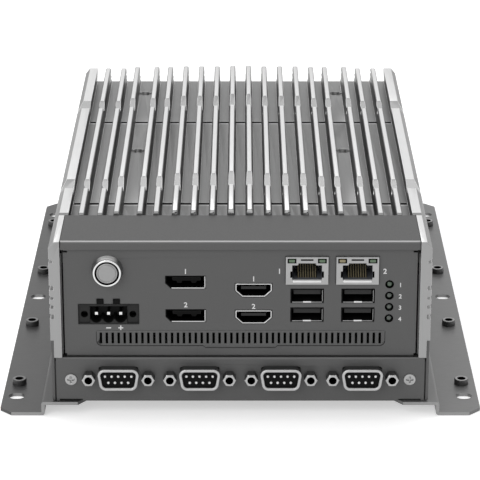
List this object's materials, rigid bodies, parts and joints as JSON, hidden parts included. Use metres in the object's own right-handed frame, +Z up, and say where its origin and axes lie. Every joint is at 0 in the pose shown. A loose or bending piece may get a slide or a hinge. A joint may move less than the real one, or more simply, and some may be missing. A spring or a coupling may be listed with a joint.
{
  "type": "fanless industrial pc",
  "caption": "Flat fanless industrial computer: finned aluminium body, front sockets, a sprung push button, and slotted side flanges for fastening it down.",
  "frame": {"origin": "middle of the bounding box's bottom face: the flanges stand on Z = 0", "axes": "+Z up, +Y from the socket face to the back, +X to the right seen from the socket face"},
  "size_m": [0.204, 0.2732, 0.0794],
  "materials": {
    "sink_aluminium": "satin anodised",
    "grey_steel": "dark grey fine satin coating",
    "screw_steel": "plated",
    "bright_steel": "bright plated",
    "insert_plastic": "moulded",
    "contact_brass": "plated",
    "window_green": "translucent",
    "window_amber": "translucent",
    "black_plastic": "moulded",
    "light_lens": "clear, unlit",
    "button_steel": "polished rim, satin face",
    "circuit_board": "solder mask",
    "chip_metal": "satin",
    "pad_rubber": "soft",
    "drive_metal": "satin"
  },
  "bodies": {
    "chassis": {"heat_sink": "sink_aluminium", "heat_sink_screws": "screw_steel", "hood": "grey_steel", "port_plate": "grey_steel", "com_front_plate": "grey_steel", "front_plate_screws": "screw_steel", "chassis_tray": "grey_steel", "side_screws": "screw_steel", "rear_panel": "grey_steel", "rear_screws": "screw_steel", "bracket_left": "grey_steel", "bracket_right": "grey_steel", "bracket_standoffs": "bright_steel", "bracket_screws": "screw_steel", "lan_shields": "bright_steel", "lan_inserts": "insert_plastic", "lan_contacts": "contact_brass", "lan_windows_green": "window_green", "lan_window_amber": "window_amber", "usb_shells": "bright_steel", "usb_tongues": "black_plastic", "video_shells": "bright_steel", "video_tongues": "black_plastic", "display_shells": "bright_steel", "display_tongues": "black_plastic", "socket_housings": "black_plastic", "dc_inlet": "black_plastic", "dc_pins": "contact_brass", "status_light_guide": "black_plastic", "status_lenses": "light_lens", "power_button_bezel": "button_steel", "power_button_nut": "button_steel", "power_button_spring": "screw_steel", "serial_shells": "bright_steel", "serial_inserts": "black_plastic", "serial_pins": "contact_brass", "jack_screws": "bright_steel", "mainboard": "circuit_board", "board_standoffs": "bright_steel", "board_screws": "screw_steel", "processor": "chip_metal", "thermal_pad": "pad_rubber", "heat_spreader": "sink_aluminium", "memory_socket": "black_plastic", "memory_module": "circuit_board", "coin_cell_holder": "black_plastic", "coin_cell": "chip_metal", "storage_tray": "grey_steel", "storage_drive": "drive_metal", "com_board": "circuit_board", "com_posts": "bright_steel", "com_screws": "screw_steel", "riser_card": "circuit_board"},
    "power_button": {"power_button_cap": "button_steel"}
  },
  "joints": [
    {"name": "power_button_slide", "type": "slide", "parent": "chassis", "child": "power_button", "axis": [0, 1, 0], "range_m": [0, 0.0015], "stiffness_N_per_m": 300, "springref_m": -0.001, "deforming": ["power_button_spring"]}
  ]
}
